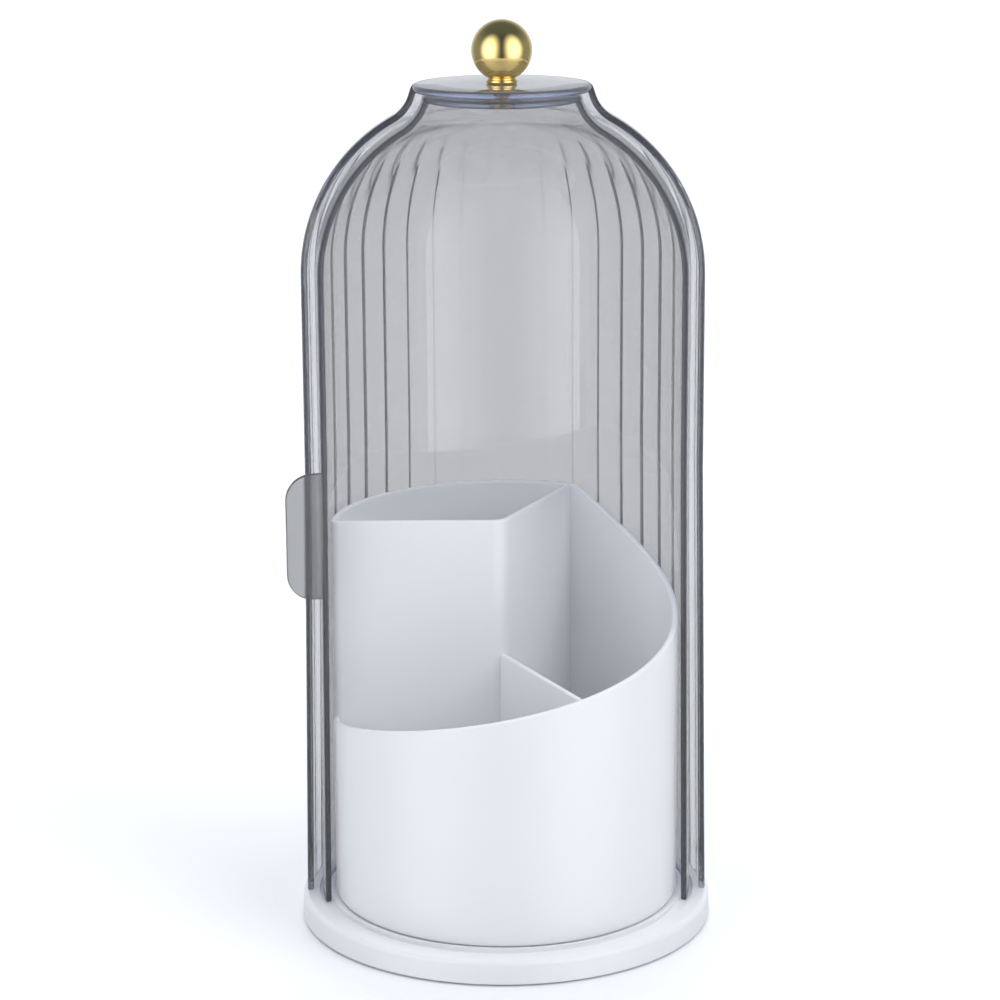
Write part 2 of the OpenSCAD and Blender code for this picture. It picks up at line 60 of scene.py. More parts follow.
def soft_box(name, place, aim, size, power):
    """A rectangular area light that faces the point aim. Shiny faces mirror the world instead."""
    data = bpy.data.lights.new(name, "AREA")
    data.shape = "RECTANGLE"
    data.size, data.size_y = size
    data.energy = power
    data.color = (0.97, 0.99, 1.03)
    lamp = bpy.data.objects.new(name, data)
    lamp.location = place
    lamp.rotation_euler = (Vector(aim) - Vector(place)).to_track_quat("-Z", "Y").to_euler()
    lamp.visible_camera = False
    lamp.visible_glossy = False
    lamp.visible_transmission = False
    bpy.context.scene.collection.objects.link(lamp)
    return lamp


soft_box("soft_box_left", (-1.15, -1.15, 0.6), (0, 0, 0.25), (1.3, 1.6), 9.2)
soft_box("soft_box_right", (1.25, -0.75, 1.3), (0, 0, 0.2), (1.3, 1.6), 15)
soft_box("soft_box_back", (0, 3.8, 2.8), (0, 3.8, 0), (3.8, 8.0), 200)
soft_box("soft_box_top", (0, -0.4, 2.6), (0, 0, 0), (1.6, 1.6), 10)
soft_box("soft_box_front", (0, -2.4, 1.5), (0, 0, 0.15), (2.0, 1.2), 4.5)

world = bpy.data.worlds.new("studio_world")
world.use_nodes = True
sky, sky_link = world.node_tree.nodes, world.node_tree.links.new
toward = sky.new("ShaderNodeTexCoord")
parts_of = sky.new("ShaderNodeSeparateXYZ")
sky_link(toward.outputs["Generated"], parts_of.inputs[0])


def sky_ramp(axis, stops):
    """Grey ramp along one axis of the direction, from -1 to 1, through (place, grey) stops."""
    along = sky.new("ShaderNodeMapRange")
    along.inputs["From Min"].default_value = -1
    sky_link(parts_of.outputs[axis], along.inputs["Value"])
    ramp = sky.new("ShaderNodeValToRGB")
    ramp.color_ramp.elements.remove(ramp.color_ramp.elements[0])
    for i, (place, grey) in enumerate(stops):
        stop = ramp.color_ramp.elements.new((place + 1) / 2) if i else ramp.color_ramp.elements[0]
        stop.position = (place + 1) / 2
        cool = 0.15 * (1 - grey)
        stop.color = (grey * (1 - cool), grey, grey * (1 + 1.5 * cool), 1)
    sky_link(along.outputs["Result"], ramp.inputs["Fac"])
    return ramp.outputs["Color"]


def sky_mix(kind, first, second):
    """Colour made of two colours, multiplied or added."""
    both = sky.new("ShaderNodeMix")
    both.data_type = "RGBA"
    both.blend_type = kind
    both.clamp_result = False
    both.inputs["Factor"].default_value = 1
    sky_link(first, both.inputs["A"])
    sky_link(second, both.inputs["B"])
    return both.outputs["Result"]


oval_squeeze = 0.65           # below 1 it draws the ovals out in height


def sky_oval(azimuth, elevation, core, edge, strength):
    """Soft upright oval of light round a direction, for shiny faces to mirror. It is full inside
    core and dark outside edge, and both are distances on a sphere of radius 1."""
    az, up = math.radians(azimuth), math.radians(elevation)
    aim = Vector((math.cos(up) * math.sin(az), -math.cos(up) * math.cos(az), math.sin(up)))
    flatter = Vector((1, 1, oval_squeeze))
    squeeze = sky.new("ShaderNodeVectorMath")
    squeeze.operation = "MULTIPLY"
    squeeze.inputs[1].default_value = flatter
    sky_link(toward.outputs["Generated"], squeeze.inputs[0])
    away = sky.new("ShaderNodeVectorMath")
    away.operation = "DISTANCE"
    away.inputs[1].default_value = aim * flatter
    sky_link(squeeze.outputs["Vector"], away.inputs[0])
    fade = sky.new("ShaderNodeMapRange")
    fade.interpolation_type = "SMOOTHSTEP"
    fade.inputs["From Min"].default_value = edge
    fade.inputs["From Max"].default_value = core
    fade.inputs["To Max"].default_value = strength
    sky_link(away.outputs["Value"], fade.inputs["Value"])
    return fade.outputs["Result"]


ground = sky_mix(
    "MULTIPLY", sky_ramp("Y", ((-0.95, 0.10), (-0.3, 0.27), (0.6, 0.32), (0.97, 0.76))),
    sky_ramp("Z", ((0.2, 1.0), (0.75, 0.45))),
)
oval_turn = 48                # degrees to either side of the front
left_oval = sky_oval(-oval_turn, 6, 0.15, 0.80, 2.0)
right_oval = sky_oval(oval_turn, 6, 0.15, 0.80, 2.0)
mirrored = sky.new("ShaderNodeLightPath").outputs["Is Glossy Ray"]
ovals = sky_mix("MULTIPLY", sky_mix("ADD", left_oval, right_oval), mirrored)
sky_link(sky_mix("ADD", ground, ovals), sky["Background"].inputs["Color"])
bpy.context.scene.world = world

floor_mesh = bpy.data.meshes.new("studio_floor")
reach = 14.0
floor_mesh.from_pydata(
    [(-reach, -reach, 0), (reach, -reach, 0), (reach, reach, 0), (-reach, reach, 0)],
    [], [(0, 1, 2, 3)]
)
floor = bpy.data.objects.new("studio_floor", floor_mesh)
bpy.context.scene.collection.objects.link(floor)
floor_material = bpy.data.materials.new("pale floor")
floor_material.use_nodes = True
floor_shader = floor_material.node_tree.nodes["Principled BSDF"]
floor_shader.inputs["Base Color"].default_value = (0.93, 0.93, 0.93, 1)
floor_shader.inputs["Roughness"].default_value = 0.7
floor_shader.inputs["Specular IOR Level"].default_value = 0.2
floor_mesh.materials.append(floor_material)
floor.visible_glossy = False

# ---------------------------------------------------------------------------------------------
# Base tray and turntable plate: white ABS mouldings with a satin, faintly uneven skin. The tray
# carries the rear shell in three slots and the door in its track. The plate turns in its well.


def moulded_skin():
    """Node group for a moulded skin: slow tone and gloss changes and a very fine ripple."""
    group = bpy.data.node_groups.new("moulded skin", "ShaderNodeTree")
    for label, kind, value in (
        ("Colour", "NodeSocketColor", (0.8, 0.8, 0.8, 1)),
        ("Tone spread", "NodeSocketFloat", 0.02),
        ("Gloss", "NodeSocketFloat", 0.3),
        ("Gloss spread", "NodeSocketFloat", 0.05),
        ("Patch scale", "NodeSocketFloat", 40.0),
        ("Grain scale", "NodeSocketFloat", 900.0),
    ):
        socket = group.interface.new_socket(label, in_out="INPUT", socket_type=kind)
        socket.default_value = value
    for label, kind in (
        ("Colour", "NodeSocketColor"),
        ("Roughness", "NodeSocketFloat"),
        ("Height", "NodeSocketFloat"),
    ):
        group.interface.new_socket(label, in_out="OUTPUT", socket_type=kind)
    nodes, link = group.nodes, group.links.new
    given = nodes.new("NodeGroupInput")
    result = nodes.new("NodeGroupOutput")
    place = nodes.new("ShaderNodeTexCoord")
    patches = nodes.new("ShaderNodeTexNoise")
    grain = nodes.new("ShaderNodeTexNoise")
    for texture, label, detail in ((patches, "Patch scale", 3), (grain, "Grain scale", 2)):
        texture.inputs["Detail"].default_value = detail
        link(place.outputs["Object"], texture.inputs["Vector"])
        link(given.outputs[label], texture.inputs["Scale"])
    middle = nodes.new("ShaderNodeMath")
    middle.operation = "SUBTRACT"
    middle.inputs[1].default_value = 0.5
    link(patches.outputs["Fac"], middle.inputs[0])
    tone = nodes.new("ShaderNodeMath")
    tone.operation = "MULTIPLY_ADD"
    tone.inputs[2].default_value = 1
    link(middle.outputs[0], tone.inputs[0])
    link(given.outputs["Tone spread"], tone.inputs[1])
    tinted = nodes.new("ShaderNodeVectorMath")
    tinted.operation = "SCALE"
    link(given.outputs["Colour"], tinted.inputs[0])
    link(tone.outputs[0], tinted.inputs["Scale"])
    link(tinted.outputs[0], result.inputs["Colour"])
    gloss = nodes.new("ShaderNodeMath")
    gloss.operation = "MULTIPLY_ADD"
    link(middle.outputs[0], gloss.inputs[0])
    link(given.outputs["Gloss spread"], gloss.inputs[1])
    link(given.outputs["Gloss"], gloss.inputs[2])
    link(gloss.outputs[0], result.inputs["Roughness"])
    link(grain.outputs["Fac"], result.inputs["Height"])
    return group


skin_group = moulded_skin()


def skin_material(name, colour, tone, gloss, gloss_spread, patch, grain, bump_mm, **constants):
    """A material on the moulded skin. constants are the shader's own sockets."""
    material = bpy.data.materials.new(name)
    material.use_nodes = True
    nodes, link = material.node_tree.nodes, material.node_tree.links.new
    shader = nodes["Principled BSDF"]
    skin = nodes.new("ShaderNodeGroup")
    skin.node_tree = skin_group
    for label, value in (
        ("Colour", (*colour, 1)), ("Tone spread", tone), ("Gloss", gloss),
        ("Gloss spread", gloss_spread), ("Patch scale", patch), ("Grain scale", grain),
    ):
        skin.inputs[label].default_value = value
    bump = nodes.new("ShaderNodeBump")
    bump.inputs["Distance"].default_value = bump_mm * MM
    link(skin.outputs["Height"], bump.inputs["Height"])
    link(skin.outputs["Colour"], shader.inputs["Base Color"])
    link(skin.outputs["Roughness"], shader.inputs["Roughness"])
    link(bump.outputs["Normal"], shader.inputs["Normal"])
    for label, value in constants.items():
        shader.inputs[label.replace("_", " ")].default_value = value
    return material


def finish_node(node, material):
    """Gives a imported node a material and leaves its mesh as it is."""
    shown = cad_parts[node]
    if not shown.material_slots:
        shown.data.materials.append(material)
    for place in shown.material_slots:
        place.material = material


white_plastic = skin_material(
    "white satin plastic", (0.90, 0.90, 0.90), 0.015, 0.34, 0.08, 30, 700, 0.01,
    Coat_Weight=0.15, Coat_Roughness=0.2,
)
finish_node("base_tray", white_plastic)
finish_node("turntable_disc", white_plastic)

# ---------------------------------------------------------------------------------------------
# Rubber feet, bearing parts and screws: soft grey rubber glued under the tray, an acetal cage
# and slip washer, polished balls, and zinc-plated screws and washer under the turntable.

foot_rubber = skin_material("grey rubber", (0.30, 0.305, 0.315), 0.10, 0.75, 0.1, 80, 1500, 0.03)
acetal = skin_material("acetal", (0.80, 0.79, 0.75), 0.04, 0.42, 0.08, 60, 900, 0.01)
zinc = skin_material(
    "zinc plate", (0.62, 0.63, 0.65), 0.10, 0.30, 0.12, 200, 2500, 0.006, Metallic=1.0
)
ball_steel = skin_material(
    "polished balls", (0.72, 0.73, 0.75), 0.03, 0.10, 0.04, 200, 2500, 0.002, Metallic=1.0
)
for node, material in (
    ("foot_front_left", foot_rubber), ("foot_front_right", foot_rubber),
    ("foot_rear_left", foot_rubber), ("foot_rear_right", foot_rubber),
    ("ball_cage", acetal), ("slip_washer", acetal), ("bearing_balls", ball_steel),
    ("bucket_screws", zinc), ("pivot_washer", zinc), ("pivot_screw", zinc),
):
    finish_node(node, material)

# ---------------------------------------------------------------------------------------------
# Knob: a polished gold-plated ball on a collar with a round ring, screwed down through both top
# discs, with a bush, a washer and the screw's head in the same plate below them.

gold_plate = skin_material(
    "gold plate", (0.93, 0.71, 0.29), 0.03, 0.12, 0.04, 120, 1800, 0.002, Metallic=1.0
)
for node in ("knob_ball", "knob_collar", "knob_bush", "knob_washer", "knob_screw"):
    finish_node(node, gold_plate)

# ---------------------------------------------------------------------------------------------
# Rear shell and door shell: polished smoke-grey styrene mouldings. Both curve in over a shoulder
# to a narrow neck and a round disc. The rear one is fluted outside and snaps into the tray, the
# door hangs on the knob's bush inside it and runs in the track.


def heading(angle):
    """Unit vector at an angle in radians."""
    return Vector((math.cos(angle), math.sin(angle)))


wall_r = 76.0 * MM            # rear shell's outer face, in section
knee_z = 180 * MM             # the wall is upright above it and spreads out below it
shoulder_r = 67.5 * MM
shoulder_c = Vector((wall_r - shoulder_r, 254.4 * MM))
shoulder_angle = math.radians(61)
neck_r = 13.5 * MM
neck_angle = math.radians(71)
neck_c = shoulder_c + (shoulder_r + neck_r) * heading(shoulder_angle)
neck_rise = 4.5 * MM          # from the end of the neck's arc to the disc's top
disc_t = 2.8 * MM
disc_gap = 1.0 * MM           # between the two discs, filled by the slip washer
disc_top = neck_c.y - neck_r * math.cos(neck_angle) + neck_rise
door_top = disc_top - disc_t - disc_gap
flutes = 40
foot_cut = 0.4 * MM           # bevel under a shell's foot
cut_round = 0.45 * MM         # rounding of the moulded edges
flute_end = 303 * MM          # height at which the flutes have run out
flute_fade = 20 * MM          # height over which they run out


def dome_path(inset, foot_r, foot_z, top_z, round_top):
    """Section of a shell's face from its foot to its top disc: a spreading foot, an upright wall,
    the shoulder's arc, the neck's concave arc and a straight flank."""
    arc_r = shoulder_r - inset
    points = [Vector((foot_r - foot_cut if round_top else foot_r + foot_cut, foot_z))]
    knee = Vector((wall_r - inset, knee_z))
    wall_top = shoulder_c + Vector((arc_r, 0))
    points += [Vector((foot_r, foot_z + foot_cut)).lerp(knee, i / 8) for i in range(8)]
    points += [knee.lerp(wall_top, i / 6) for i in range(7)]
    for i in range(1, 27):
        a = shoulder_angle * i / 26
        points.append(shoulder_c + arc_r * heading(a))
    a0, a1 = shoulder_angle + math.pi, math.pi * 1.5 - neck_angle
    for i in range(1, 11):
        a = a0 + (a1 - a0) * i / 10
        points.append(neck_c + (neck_r + inset) * heading(a))
    flank = points[-1]
    lean = 1 / math.tan(neck_angle)
    top = Vector((flank.x - (top_z - flank.y) * lean, top_z))
    if not round_top:
        points.append(top)
        return points
    back = disc_t / 2
    half = (math.pi - neck_angle) / 2
    r = back * math.tan(half)
    centre = Vector((top.x - back, top_z - r))
    for i in range(6):
        a = (math.pi / 2 - neck_angle) * (1 - i / 5) + math.pi / 2 * i / 5
        points.append(centre + r * heading(a))
    return points


def section_normals(loop):
    """Outward normals of a closed section that runs anticlockwise."""
    found = []
    for i, p in enumerate(loop):
        along = loop[(i + 1) % len(loop)] - loop[i - 1]
        found.append(Vector((along.y, -along.x)).normalized())
    return found


def dome_shell(name, inset, wall, foot_r, foot_z, top_z, start, span, hole_r):
    """Closed mesh of one shell before it is fluted. The point attribute flute is 1 where the
    flutes are full, and runs out to 0 below the neck."""
    under_z = top_z - disc_t
    outer = dome_path(inset, foot_r, foot_z, top_z, True)
    inner = dome_path(inset + wall, foot_r - wall, foot_z, under_z, False)
    rim, joint = outer[-1], inner[-1]
    top = [rim.lerp(Vector((hole_r, top_z)), t) for t in (0.33, 0.66, 1)]
    under = [Vector((hole_r, under_z)).lerp(joint, t) for t in (0, 0.33, 0.66)]
    section = outer + top + under + inner[::-1]
    normals = section_normals(section)
    n_out = len(outer)
    first_in = n_out + len(top) + len(under)
    lip_c = Vector((rim.x, top_z - disc_t / 2))
    turns = [math.pi / 2 - math.pi * i / 8 for i in range(1, 8)]
    lip = [lip_c + disc_t / 2 * heading(a) for a in turns]

    def weight(i):
        """How far the rounding of the cut edges reaches: none at the disc."""
        if i < n_out:
            return min(1, (n_out - 1 - i) / 8)
        if i >= first_in:
            return min(1, (i - first_in) / 6)
        return 0

    def mask(i, az):
        """How deep the flutes are: full on the wall, less as the dome narrows, and none on the cut
        edges, inside or at the neck."""
        if i == 0 or i >= n_out or not 0 <= az <= math.pi:
            return 0.0
        t = min(1, max(0, (flute_end - section[i].y) / flute_fade))
        return min(1, section[i].x / wall_r) * t * t * (3 - 2 * t)

    end = start + span
    pitch = 2 * math.pi / flutes
    ends = [(start + cut_round * (1 - math.cos(a)) / foot_r, cut_round * (1 - math.sin(a)))
            for a in (0, 0.39, 0.79, 1.18)]
    margin = cut_round / foot_r
    slices = list(ends) + [(start + margin, 0)]
    per_flute = 20
    for k in range(math.floor(start / pitch * per_flute), math.ceil(end / pitch * per_flute) + 1):
        az = k / per_flute * pitch
        if start + margin * 1.5 < az < end - margin * 1.5:
            slices.append((az, 0))
    slices += [(end - margin, 0)] + [(start + end - az, off) for az, off in ends[::-1]]

    mesh = bmesh.new()
    flute = mesh.verts.layers.float.new("flute")

    def place(p, az):
        return mesh.verts.new((p.x * math.cos(az), p.x * math.sin(az), p.y))

    rings = []
    for az, off in slices:
        ring = []
        for i, p in enumerate(section):
            v = place(p - normals[i] * off * weight(i), az)
            v[flute] = mask(i, az)
            ring.append(v)
        rings.append(ring)
    count = len(section)
    for a, b in zip(rings, rings[1:]):
        for i in range(count):
            j = (i + 1) % count
            mesh.faces.new((a[i], b[i], b[j], a[j]))
    shared = list(range(n_out - 1, first_in + 1))

    def disc_ring(base, az):
        """The disc's own loop: the shared points of a slice, then its rounded lip."""
        own = [base[i] for i in shared] if base else [place(section[i], az) for i in shared]
        return own + [place(p, az) for p in lip[::-1]]

    gap = 2 * math.pi - span
    steps = max(8, int(gap / math.radians(3)))
    loops = [disc_ring(rings[-1], end)]
    loops += [disc_ring(None, end + gap * i / steps) for i in range(1, steps)]
    loops.append(disc_ring(rings[0], start))
    size = len(loops[0])
    for a, b in zip(loops, loops[1:]):
        for i in range(size):
            j = (i + 1) % size
            mesh.faces.new((a[i], b[i], b[j], a[j]))
    own = len(shared)
    wall_loop = list(range(first_in, count)) + list(range(0, n_out))
    mesh.faces.new([rings[0][i] for i in wall_loop] + loops[-1][own:][::-1])
    mesh.faces.new(([rings[-1][i] for i in wall_loop] + loops[0][own:][::-1])[::-1])
    bmesh.ops.recalc_face_normals(mesh, faces=mesh.faces)
    data = bpy.data.meshes.new(name)
    mesh.to_mesh(data)
    mesh.free()
    piece = bpy.data.objects.new(name, data)
    bpy.context.scene.collection.objects.link(piece)
    return piece


def flute_tree():
    """Geometry Nodes tree that presses a shell's outside into upright convex flutes, which meet in
    sharp valleys. Narrowness above 1 makes the valleys narrower and the flutes flatter. The point
    attribute flute says how deep they are at each height."""
    tree = bpy.data.node_groups.new("flutes", "GeometryNodeTree")
    face = tree.interface.new_socket
    face("Geometry", in_out="INPUT", socket_type="NodeSocketGeometry")
    for label, value in (("Flutes", 40.0), ("Valley depth", 0.001), ("Narrowness", 2.0)):
        face(label, in_out="INPUT", socket_type="NodeSocketFloat").default_value = value
    face("Material", in_out="INPUT", socket_type="NodeSocketMaterial")
    face("Geometry", in_out="OUTPUT", socket_type="NodeSocketGeometry")
    nodes, link = tree.nodes, tree.links.new
    given = nodes.new("NodeGroupInput")
    result = nodes.new("NodeGroupOutput")

    def math_node(operation, *values):
        node = nodes.new("ShaderNodeMath")
        node.operation = operation
        for socket, value in zip(node.inputs, values):
            if isinstance(value, (int, float)):
                socket.default_value = value
            else:
                link(value, socket)
        return node.outputs[0]

    position = nodes.new("GeometryNodeInputPosition")
    parts = nodes.new("ShaderNodeSeparateXYZ")
    link(position.outputs[0], parts.inputs[0])
    angle = math_node("ARCTAN2", parts.outputs["Y"], parts.outputs["X"])
    turn = math_node("DIVIDE", angle, 2 * math.pi)
    phase = math_node("FRACT", math_node("MULTIPLY", turn, given.outputs["Flutes"]))
    from_valley = math_node("ABSOLUTE", math_node("MULTIPLY_ADD", phase, 2, -1))
    from_crown = math_node("SUBTRACT", 1, from_valley)
    hollow = math_node("POWER", from_crown, given.outputs["Narrowness"])
    masked = nodes.new("GeometryNodeInputNamedAttribute")
    masked.data_type = "FLOAT"
    masked.inputs["Name"].default_value = "flute"
    depth = math_node("MULTIPLY", math_node("MULTIPLY", hollow, masked.outputs["Attribute"]),
                      given.outputs["Valley depth"])
    normal = nodes.new("GeometryNodeInputNormal")
    move = nodes.new("ShaderNodeVectorMath")
    move.operation = "SCALE"
    link(normal.outputs[0], move.inputs[0])
    link(math_node("MULTIPLY", depth, -1), move.inputs["Scale"])
    shift = nodes.new("GeometryNodeSetPosition")
    link(given.outputs["Geometry"], shift.inputs["Geometry"])
    link(move.outputs[0], shift.inputs["Offset"])
    real = nodes.new("GeometryNodeRealizeInstances")
    link(shift.outputs["Geometry"], real.inputs["Geometry"])
    coat = nodes.new("GeometryNodeSetMaterial")
    link(real.outputs["Geometry"], coat.inputs["Geometry"])
    link(given.outputs["Material"], coat.inputs["Material"])
    link(coat.outputs["Geometry"], result.inputs["Geometry"])
    return tree


def grow(piece, tree, **values):
    """Runs a Geometry Nodes tree on a piece and keeps the result as its plain mesh."""
    modifier = piece.modifiers.new(tree.name, "NODES")
    modifier.node_group = tree
    labels = {s.name: s.identifier for s in tree.interface.items_tree if s.in_out == "INPUT"}
    for label, value in values.items():
        modifier[labels[label.replace("_", " ")]] = value
    evaluated = piece.evaluated_get(bpy.context.evaluated_depsgraph_get())
    data = bpy.data.meshes.new_from_object(evaluated)
    data.name = piece.name
    piece.modifiers.remove(modifier)
    piece.data = data


def smooth(piece, angle=35):
    """Smooth shading with hard edges where faces meet at more than the angle."""
    piece.data.shade_smooth()
    piece.data.set_sharp_from_angle(angle=math.radians(angle))


def clear_material(name, colour, gloss):
    """Smoke-grey styrene: clear with a trace of haze, a tint that deepens and turns bluer with its
    thickness, and faint flow waves from the moulding."""
    material = bpy.data.materials.new(name)
    material.use_nodes = True
    nodes, link = material.node_tree.nodes, material.node_tree.links.new
    shader = nodes["Principled BSDF"]
    output = nodes["Material Output"]
    shader.inputs["Transmission Weight"].default_value = 0.93
    shader.inputs["IOR"].default_value = 1.47
    skin = nodes.new("ShaderNodeGroup")
    skin.node_tree = skin_group
    for label, value in (
        ("Colour", (*colour, 1)), ("Tone spread", 0.01), ("Gloss", gloss),
        ("Gloss spread", 0.02), ("Patch scale", 45), ("Grain scale", 90),
    ):
        skin.inputs[label].default_value = value
    link(skin.outputs["Colour"], shader.inputs["Base Color"])
    link(skin.outputs["Roughness"], shader.inputs["Roughness"])
    bump = nodes.new("ShaderNodeBump")
    bump.inputs["Distance"].default_value = 0.02 * MM
    link(skin.outputs["Height"], bump.inputs["Height"])
    link(bump.outputs["Normal"], shader.inputs["Normal"])
    path = nodes.new("ShaderNodeLightPath")
    through = nodes.new("ShaderNodeBsdfTransparent")
    through.inputs["Color"].default_value = (0.90, 0.91, 0.92, 1)
    choose = nodes.new("ShaderNodeMixShader")
    link(path.outputs["Is Shadow Ray"], choose.inputs["Fac"])
    link(shader.outputs["BSDF"], choose.inputs[1])
    link(through.outputs["BSDF"], choose.inputs[2])
    link(choose.outputs["Shader"], output.inputs["Surface"])
    tint = nodes.new("ShaderNodeVolumeAbsorption")
    tint.inputs["Color"].default_value = (0.0, 0.16, 0.66, 1)
    tint.inputs["Density"].default_value = 14
    link(tint.outputs["Volume"], output.inputs["Volume"])
    return material


smoke_clear = clear_material("smoke clear styrene", (0.765, 0.750, 0.726), 0.03)
rear_shell = dome_shell(
    "rear_shell_fluted", 0, 2.4 * MM, 78.4 * MM, 10 * MM, disc_top,
    math.radians(-5), math.radians(190), 2.15 * MM,
)
grow(
    rear_shell, flute_tree(), Flutes=float(flutes), Valley_depth=1.3 * MM, Narrowness=2.6,
    Material=smoke_clear,
)
door_shell = dome_shell(
    "door_shell_plain", 5.2 * MM, 2.2 * MM, 72.4 * MM, 9.1 * MM, door_top,
    math.radians(-14), math.radians(208), 3.55 * MM,
)
door_shell.data.materials.append(smoke_clear)
smooth(rear_shell, 40)
smooth(door_shell, 40)
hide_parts("rear_shell")
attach(rear_shell, "base")
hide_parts("door_shell")
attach(door_shell, "door")

# ---------------------------------------------------------------------------------------------
# Finger tab: a flat clear plate with round outer corners, moulded on the door's leading edge. It
# is what a finger pushes, and it stops against either edge of the rear shell.

tab_az = math.radians(194)
tab_t = 2 * MM
tab_low, tab_high = 131.9 * MM, 180.9 * MM
tab_in, tab_out = 70.3 * MM, 84.7 * MM
tab_corner = 10 * MM
tab_edge = 0.5 * MM
outline = [Vector((tab_in, tab_low)), Vector((tab_out - tab_corner, tab_low))]
for corner_z, first in ((tab_low + tab_corner, -math.pi / 2), (tab_high - tab_corner, 0)):
    corner_c = Vector((tab_out - tab_corner, corner_z))
    for i in range(13):
        a = first + math.pi / 2 * i / 12
        outline.append(corner_c + tab_corner * heading(a))
outline += [Vector((tab_in, tab_high))]
tab_mesh = bmesh.new()
tab_turn = Matrix.Rotation(tab_az, 4, "Z")
edge_normals = section_normals(outline)
rows = []
n_edge = 5
for i in range(2 * n_edge):
    a = math.pi / 2 * (i % n_edge) / (n_edge - 1)
    off = tab_edge * (1 - math.sin(a)) if i < n_edge else tab_edge * (1 - math.cos(a))
    depth = tab_edge * (1 - math.cos(a)) if i < n_edge else tab_t - tab_edge * (1 - math.sin(a))
    row = []
    for p, n in zip(outline, edge_normals):
        q = p - n * off
        row.append(tab_mesh.verts.new(tab_turn @ Vector((max(q.x, tab_in), -depth, q.y))))
    rows.append(row)
for a, b in zip(rows, rows[1:]):
    for i in range(len(outline)):
        j = (i + 1) % len(outline)
        tab_mesh.faces.new((a[i], a[j], b[j], b[i]))
tab_mesh.faces.new(rows[0][::-1])
tab_mesh.faces.new(rows[-1])
bmesh.ops.recalc_face_normals(tab_mesh, faces=tab_mesh.faces)
tab_data = bpy.data.meshes.new("door_finger_tab")
tab_mesh.to_mesh(tab_data)
tab_mesh.free()
door_tab = bpy.data.objects.new("door_finger_tab", tab_data)
bpy.context.scene.collection.objects.link(door_tab)
tab_data.materials.append(clear_material("satin clear styrene", (0.42, 0.415, 0.41), 0.16))
smooth(door_tab, 50)
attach(door_tab, "door")

# ---------------------------------------------------------------------------------------------
# Bucket: one white ABS moulding. A flat-walled tall compartment stands at the back left, the
# round outer wall slopes down from it in a long spiral, and a straight divider parts the two open
# compartments. All rims are softly rounded. Three screws from below hold it on the turntable.

bucket_r = 67 * MM
bucket_wall = 2.2 * MM
bucket_z = 10.3 * MM
bucket_floor = 2.4 * MM
tall_top = bucket_z + 147.7 * MM
tall_az = 65.4
rim_round = 0.95 * MM


def rim_z(az):
    """Height of the sloping rim at a direction in degrees, from -180 to the tall compartment."""
    t = max(0, (az + 180) / (tall_az + 180))
    return min(bucket_z + (68.7 + 54 * t + 26.5 * t ** 6) * MM, tall_top)


def rounded_wall(mesh, path, tops, bottom, closed):
    """A wall along a path of middle points, with a rounded rim at the given heights."""
    half = bucket_wall / 2
    profile = [(half, None)]
    for i in range(6):
        a = math.pi / 2 * i / 5
        profile.append((half - rim_round * (1 - math.cos(a)), rim_round * (1 - math.sin(a))))
    profile += [(-n, drop) for n, drop in profile[::-1]]
    count = len(path)
    rows = []
    for i, p in enumerate(path):
        before = path[i - 1] if closed or i > 0 else p
        after = path[(i + 1) % count] if closed or i < count - 1 else p
        d0 = (p - before).normalized() if before is not p else (after - p).normalized()
        d1 = (after - p).normalized() if after is not p else d0
        side = Vector((d0.y, -d0.x)) + Vector((d1.y, -d1.x))
        side = side.normalized() / max(0.5, side.length / 2)
        rows.append([
            mesh.verts.new((*(p + side * n), bottom if drop is None else tops[i] - drop))
            for n, drop in profile
        ])
    size = len(profile)
    pairs = list(zip(rows, rows[1:])) + ([(rows[-1], rows[0])] if closed else [])
    for a, b in pairs:
        for i in range(size):
            j = (i + 1) % size
            mesh.faces.new((a[i], b[i], b[j], a[j]))
    if not closed:
        mesh.faces.new(rows[0])
        mesh.faces.new(rows[-1][::-1])


def turned(mesh, profile, steps, centre=(0, 0)):
    """A closed body turned about a vertical axis from a profile that starts and ends on it."""
    low = mesh.verts.new((*centre, profile[0].y))
    high = mesh.verts.new((*centre, profile[-1].y))
    rings = []
    for i in range(steps):
        a = 2 * math.pi * i / steps
        rings.append([
            mesh.verts.new((centre[0] + p.x * math.cos(a), centre[1] + p.x * math.sin(a), p.y))
            for p in profile[1:-1]
        ])
    for a, b in zip(rings, rings[1:] + rings[:1]):
        mesh.faces.new((low, b[0], a[0]))
        mesh.faces.new((high, a[-1], b[-1]))
        for i in range(len(a) - 1):
            mesh.faces.new((a[i], b[i], b[i + 1], a[i + 1]))


def arc_points(centre, r, first, last, steps):
    """Points of an arc between two angles in radians, with both its ends."""
    return [centre + r * heading(first + (last - first) * i / steps) for i in range(steps + 1)]


bucket_mesh = bmesh.new()
middle = bucket_r - bucket_wall / 2
wall_bottom = bucket_z + 1.4 * MM
low_end, high_end = -183.4, tall_az + 1.8     # both ends run a little into the tall compartment
turns = [low_end + i * (high_end - low_end) / 150 for i in range(151)]
rounded_wall(
    bucket_mesh, [middle * heading(math.radians(az)) for az in turns],
    [rim_z(az) for az in turns], wall_bottom, False,
)
tall = math.radians(tall_az)
half_turn = (math.pi - tall) / 2
inner_r = 8 * MM
inner_corner = inner_r / math.sin(half_turn) * heading(tall + half_turn)
front_r = 3.6 * MM
front_c = Vector((-math.sqrt((bucket_r - front_r) ** 2 - front_r ** 2), front_r))
back_r = 1.6 * MM
back_turn = math.asin(back_r / (bucket_r - back_r))
back_c = (bucket_r - back_r) * heading(tall + back_turn)
half_wall = bucket_wall / 2
front_turn = math.atan2(front_c.y, front_c.x)
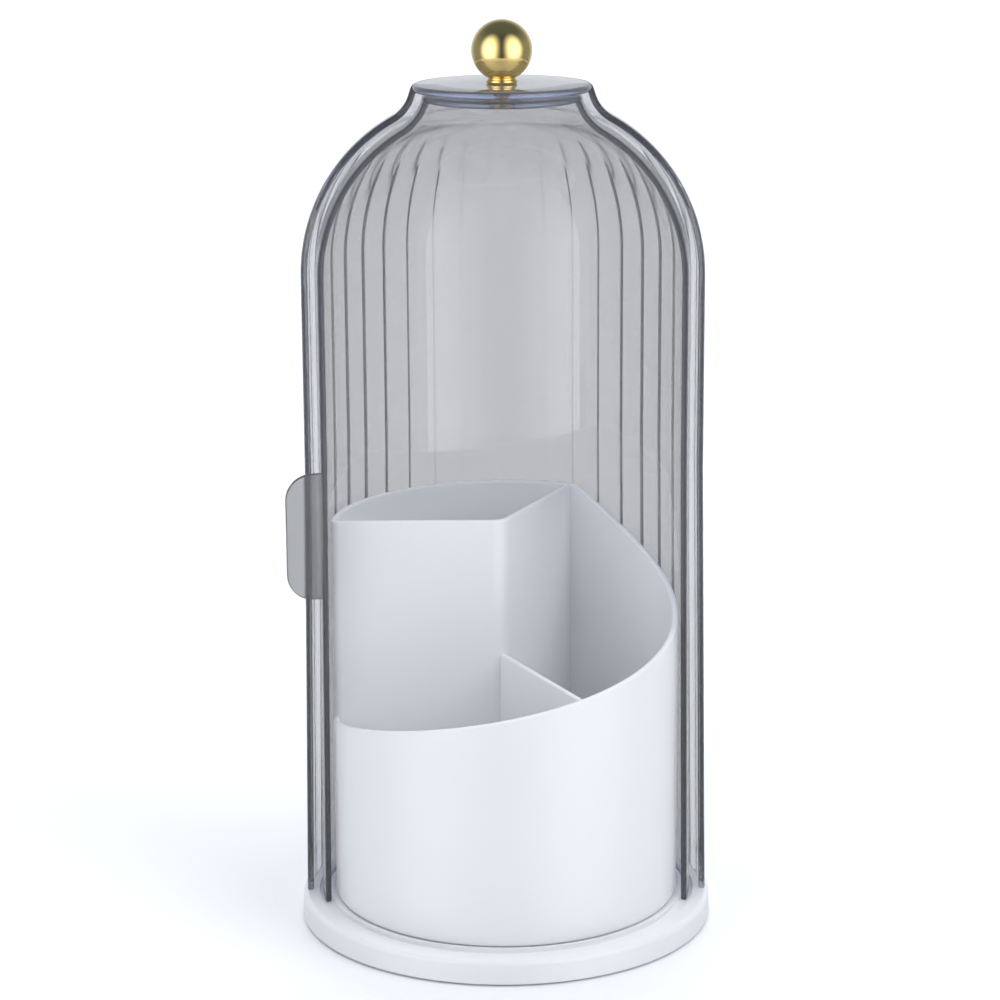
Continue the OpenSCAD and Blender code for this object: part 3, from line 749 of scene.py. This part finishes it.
tall_path = arc_points(inner_corner, inner_r - half_wall, -math.pi / 2, tall - math.pi / 2, 10)
tall_path += arc_points(back_c, back_r - half_wall, tall - math.pi / 2, tall + back_turn, 4)
tall_path += arc_points(Vector((0, 0)), middle, tall + back_turn + 0.02, front_turn - 0.02, 60)
tall_path += arc_points(front_c, front_r - half_wall, front_turn, math.pi * 1.5, 8)
rounded_wall(bucket_mesh, tall_path, [tall_top] * len(tall_path), wall_bottom, True)
divider_az = -64
along = heading(math.radians(divider_az))
divider_top = rim_z(divider_az) - 0.5 * MM
divider_in = -2.4 * MM
rounded_wall(
    bucket_mesh, [along * (divider_in + i * (middle - divider_in) / 12) for i in range(13)],
    [divider_top] * 13, wall_bottom, False,
)
foot_round = 1.0 * MM
shy = 0.01 * MM               # keeps the floor's edge inside the wall's face
floor_profile = [Vector((0, bucket_z)), Vector((bucket_r - foot_round, bucket_z))]
floor_profile += arc_points(
    Vector((bucket_r - foot_round, bucket_z + foot_round)), foot_round - shy,
    -math.pi / 2 + 0.2, 0, 6,
)
floor_top = bucket_z + bucket_floor
floor_profile += [Vector((bucket_r - shy, floor_top)), Vector((0, floor_top))]
turned(bucket_mesh, floor_profile, 240)
boss_r, boss_top, boss_low = 3.25 * MM, bucket_z + 4.4 * MM, bucket_z + 1 * MM
boss_round = 0.6 * MM
boss = [Vector((0, boss_low)), Vector((boss_r, boss_low))]
boss += arc_points(
    Vector((boss_r - boss_round, boss_top - boss_round)), boss_round, 0, math.pi / 2, 4
)
boss.append(Vector((0, boss_top)))
for az in (90, 210, 330):
    turned(bucket_mesh, boss, 32, 24 * MM * heading(math.radians(az)))
bmesh.ops.recalc_face_normals(bucket_mesh, faces=bucket_mesh.faces)
bucket_data = bpy.data.meshes.new("bucket_moulding")
bucket_mesh.to_mesh(bucket_data)
bucket_mesh.free()
bucket = bpy.data.objects.new("bucket_moulding", bucket_data)
bpy.context.scene.collection.objects.link(bucket)
bucket_data.materials.append(white_plastic)
smooth(bucket, 40)
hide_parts("organizer_bucket")
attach(bucket, "organizer")
